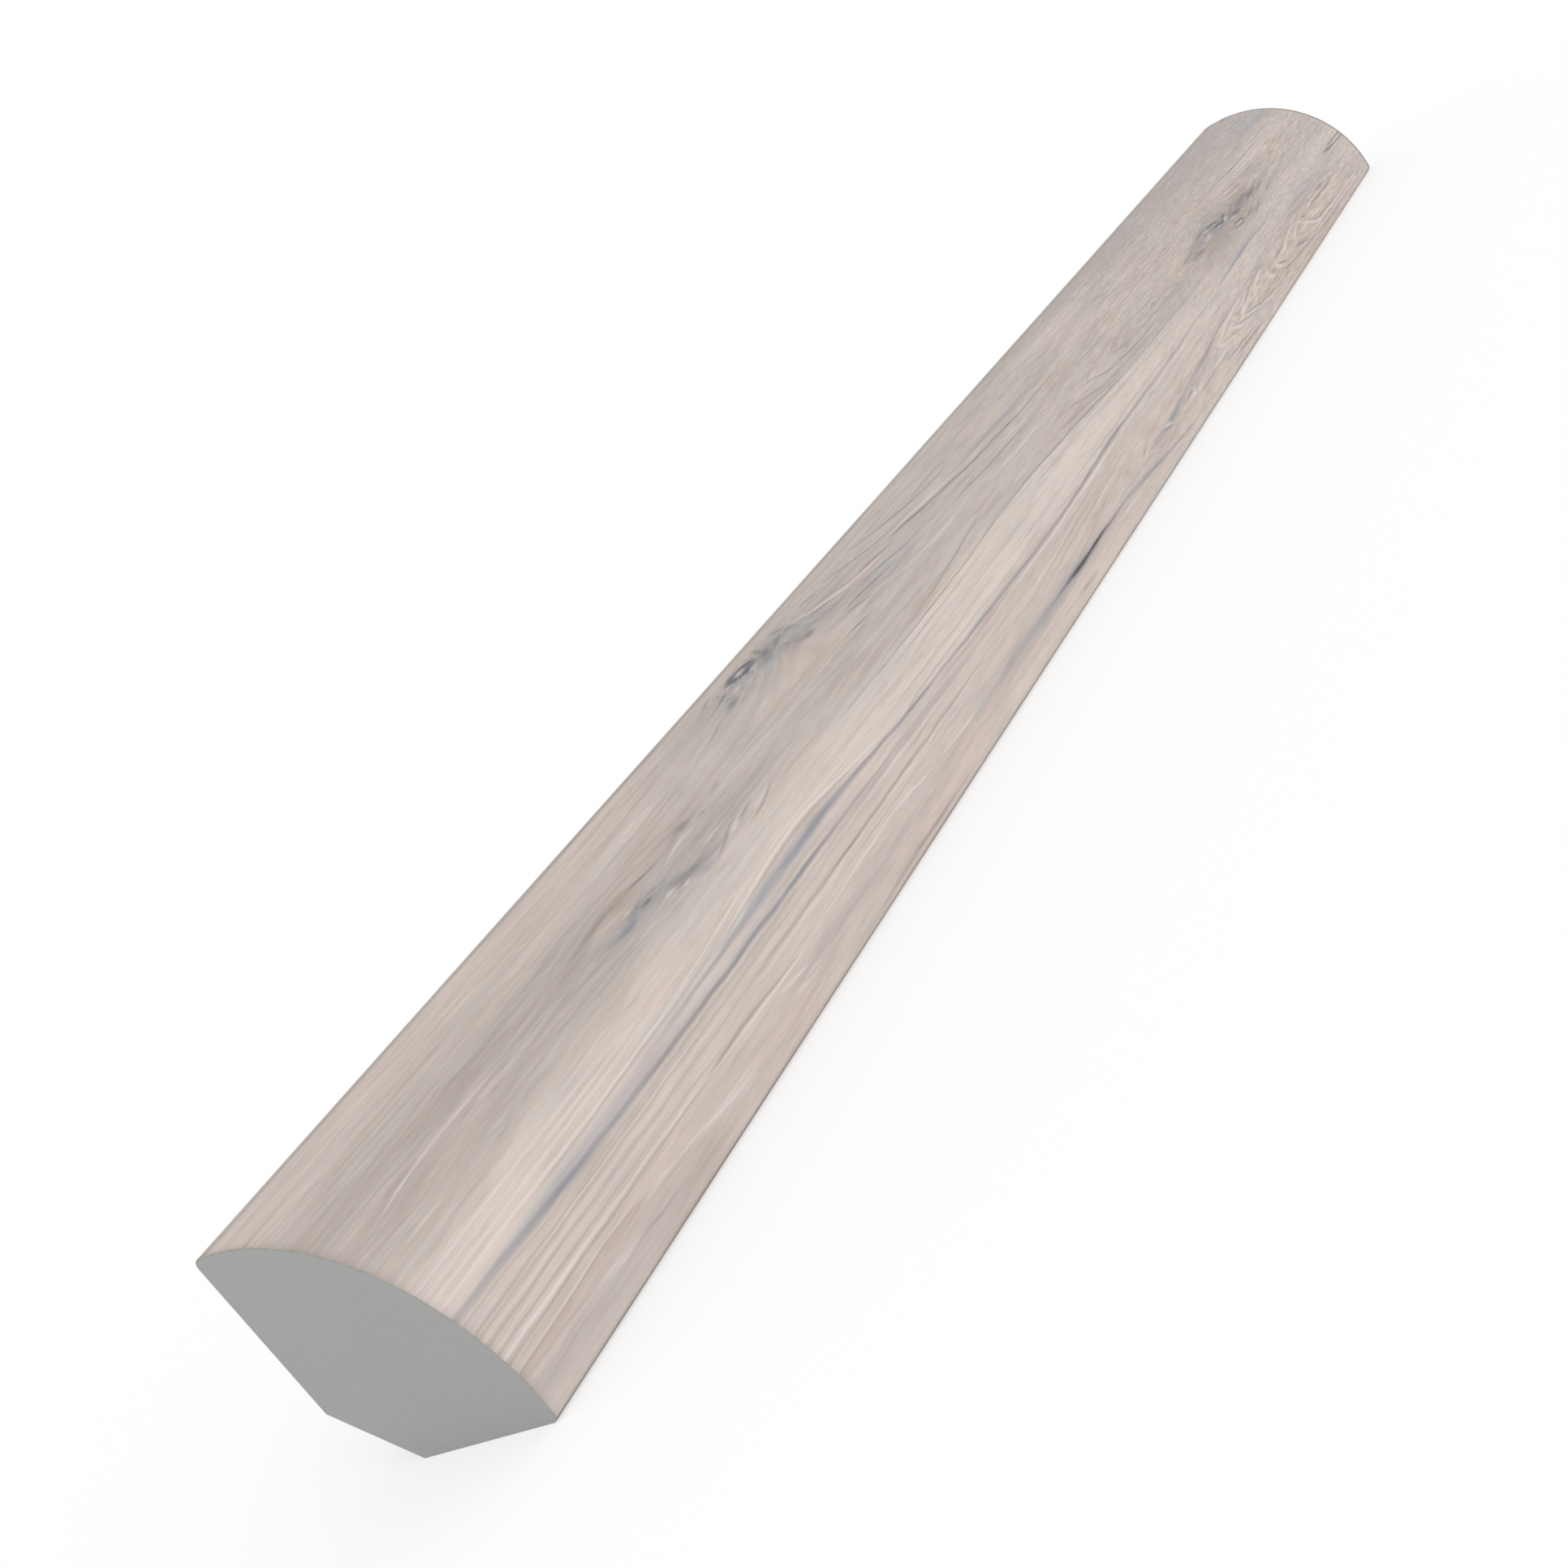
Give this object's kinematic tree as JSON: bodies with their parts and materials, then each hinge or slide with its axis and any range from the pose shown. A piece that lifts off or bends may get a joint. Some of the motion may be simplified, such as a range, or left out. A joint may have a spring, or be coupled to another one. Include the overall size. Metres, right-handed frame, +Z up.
{
  "type": "quarter round moulding",
  "caption": "Straight length of quarter round moulding: grey extruded core, wood-look film over the convex face, flats for wall and floor, chamfered back corner.",
  "frame": {"origin": "bottom middle of the whole piece, in the plane of the flat that meets the floor", "axes": "+X outward from the wall flat, +Y along the length, +Z up the wall flat"},
  "size_m": [0.019, 0.26, 0.019],
  "materials": {
    "core": "matt grey extruded polymer, fine saw-cut ends",
    "decor_film": "matt printed film, whitewashed greige oak look"
  },
  "bodies": {
    "root": {"core": "core", "decor_film": "decor_film"}
  },
  "joints": []
}
